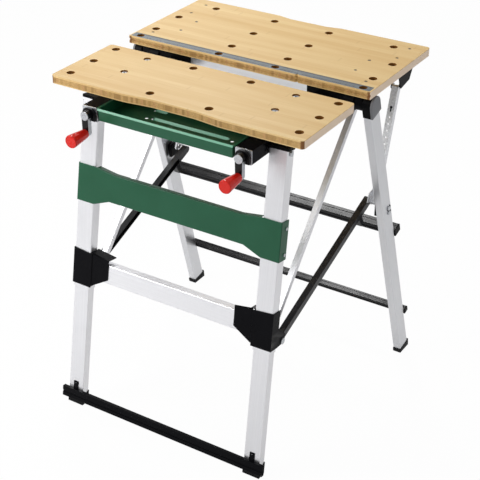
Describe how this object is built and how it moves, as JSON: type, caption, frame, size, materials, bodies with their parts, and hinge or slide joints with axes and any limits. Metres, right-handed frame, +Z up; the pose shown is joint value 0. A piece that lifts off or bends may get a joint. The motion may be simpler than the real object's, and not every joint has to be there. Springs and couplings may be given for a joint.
{
  "type": "folding clamping work table",
  "caption": "Folding work table with two bamboo clamping jaws on crank spindles, aluminium legs, cross panel and folding links.",
  "frame": {"origin": "on the floor, under the middle of the overall box", "axes": "+X along the jaws to the right as seen from the cranks, +Y to the rear jaw, +Z up"},
  "size_m": [0.7076, 0.7344, 0.873],
  "materials": {
    "bamboo": "lacquered bamboo ply",
    "green_paint": "green powder coat",
    "black_paint": "black powder coat",
    "aluminium": "satin anodised",
    "zinc": "zinc plated",
    "black_plastic": "moulded",
    "grey_plastic": "moulded",
    "red_plastic": "moulded"
  },
  "bodies": {
    "front_frame": {"upper_leg_left": "aluminium", "upper_leg_right": "aluminium", "leg_cap_left": "black_plastic", "leg_cap_right": "black_plastic", "lower_leg_left": "aluminium", "lower_leg_right": "aluminium", "slide_bracket_left": "black_paint", "slide_bracket_right": "black_paint", "front_crossbar": "aluminium", "cross_panel": "green_paint", "panel_screws": "zinc", "foot_bar": "black_paint", "front_foot_left": "black_plastic", "front_foot_right": "black_plastic", "link_pins": "zinc", "fold_bolts": "zinc"},
    "top_frame": {"rail_left": "black_paint", "rail_right": "black_paint", "spindle_bearing_left": "zinc", "spindle_bearing_right": "zinc", "tool_tray": "green_paint", "corner_left": "black_paint", "corner_right": "black_paint", "cross_tube": "aluminium", "corner_bolts": "zinc"},
    "front_jaw": {"front_jaw_board": "bamboo", "jaw_carrier_left": "black_paint", "jaw_carrier_right": "black_paint", "jaw_bolts": "zinc"},
    "crank_left": {"spindle_left": "zinc", "crank_arm_left": "zinc"},
    "crank_right": {"spindle_right": "zinc", "crank_arm_right": "zinc"},
    "grip_left": {"grip_left": "red_plastic"},
    "grip_right": {"grip_right": "red_plastic"},
    "rear_frame": {"rear_leg_left": "aluminium", "rear_leg_right": "aluminium", "leg_knuckle_left": "black_plastic", "leg_knuckle_right": "black_plastic", "knuckle_cap_left": "grey_plastic", "knuckle_cap_right": "grey_plastic", "upper_crossbar": "black_paint", "lower_crossbar": "black_paint", "crossbar_plugs": "black_plastic", "rear_foot_left": "black_plastic", "rear_foot_right": "black_plastic", "leg_studs": "zinc"},
    "rear_jaw": {"rear_jaw_board": "bamboo", "rule_strip": "aluminium", "jaw_bracket_left": "black_paint", "jaw_bracket_right": "black_paint", "stay_bracket_left": "black_paint", "stay_bracket_right": "black_paint", "jaw_screws": "zinc"},
    "stay_left": {"stay_left": "zinc"},
    "stay_right": {"stay_right": "zinc"},
    "brace_left": {"brace_left": "aluminium"},
    "brace_right": {"brace_right": "aluminium"},
    "strut_left": {"strut_left": "black_paint"},
    "strut_right": {"strut_right": "black_paint"}
  },
  "joints": [
    {"name": "top_fold", "type": "hinge", "parent": "front_frame", "child": "top_frame", "pos_m": [0, -0.21445, 0.8085], "axis": [1, 0, 0], "range_deg": [0, 66]},
    {"name": "rear_legs_fold", "type": "hinge", "parent": "top_frame", "child": "rear_frame", "pos_m": [0, 0.07555, 0.827], "axis": [-1, 0, 0], "range_deg": [0, 93.38]},
    {"name": "rear_jaw_fold", "type": "hinge", "parent": "top_frame", "child": "rear_jaw", "pos_m": [0, 0.07555, 0.827], "axis": [-1, 0, 0], "range_deg": [0, 166.65]},
    {"name": "front_jaw_slide", "type": "slide", "parent": "top_frame", "child": "front_jaw", "axis": [0, 1, 0], "range_m": [-0.024, 0.072]},
    {"name": "crank_right_turn", "type": "hinge", "parent": "top_frame", "child": "crank_right", "pos_m": [0.2078, -0.26545, 0.8165], "axis": [0, 1, 0], "range_deg": [-1440, 4320]},
    {"name": "grip_right_spin", "type": "hinge", "parent": "crank_right", "child": "grip_right", "pos_m": [0.2078, -0.26545, 0.7735], "axis": [0, 1, 0], "continuous": true},
    {"name": "brace_right_swing", "type": "hinge", "parent": "front_frame", "child": "brace_right", "pos_m": [0, -0.25149, 0.34198], "axis": [1, 0, 0], "range_deg": [0, 31.05]},
    {"name": "strut_right_swing", "type": "hinge", "parent": "front_frame", "child": "strut_right", "pos_m": [0, -0.25149, 0.34198], "axis": [1, 0, 0], "range_deg": [0, 57.95]},
    {"name": "stay_right_swing", "type": "hinge", "parent": "rear_jaw", "child": "stay_right", "pos_m": [0, 0.26955, 0.795], "axis": [1, 0, 0], "range_deg": [0, 102.85]},
    {"name": "crank_left_turn", "type": "hinge", "parent": "top_frame", "child": "crank_left", "pos_m": [-0.2078, -0.26545, 0.8165], "axis": [0, 1, 0], "range_deg": [-1440, 4320]},
    {"name": "grip_left_spin", "type": "hinge", "parent": "crank_left", "child": "grip_left", "pos_m": [-0.2078, -0.26545, 0.7735], "axis": [0, 1, 0], "continuous": true},
    {"name": "brace_left_swing", "type": "hinge", "parent": "front_frame", "child": "brace_left", "pos_m": [0, -0.25149, 0.34198], "axis": [1, 0, 0], "range_deg": [0, 31.05]},
    {"name": "strut_left_swing", "type": "hinge", "parent": "front_frame", "child": "strut_left", "pos_m": [0, -0.25149, 0.34198], "axis": [1, 0, 0], "range_deg": [0, 57.95]},
    {"name": "stay_left_swing", "type": "hinge", "parent": "rear_jaw", "child": "stay_left", "pos_m": [0, 0.26955, 0.795], "axis": [1, 0, 0], "range_deg": [0, 102.85]}
  ],
  "couplings": [
    {"joint": "rear_legs_fold", "follows": "top_fold", "ratio": 1.4141},
    {"joint": "rear_jaw_fold", "follows": "top_fold", "ratio": 2.5242},
    {"joint": "crank_left_turn", "follows": "crank_right_turn", "ratio": 1},
    {"joint": "front_jaw_slide", "follows": "crank_right_turn", "m_per_rad": 0.00095493},
    {"joint": "brace_right_swing", "follows": "top_fold", "ratio": 0.4697},
    {"joint": "strut_right_swing", "follows": "top_fold", "ratio": 0.8773},
    {"joint": "stay_right_swing", "follows": "top_fold", "ratio": 1.5576},
    {"joint": "brace_left_swing", "follows": "top_fold", "ratio": 0.4697},
    {"joint": "strut_left_swing", "follows": "top_fold", "ratio": 0.8773},
    {"joint": "stay_left_swing", "follows": "top_fold", "ratio": 1.5576}
  ]
}
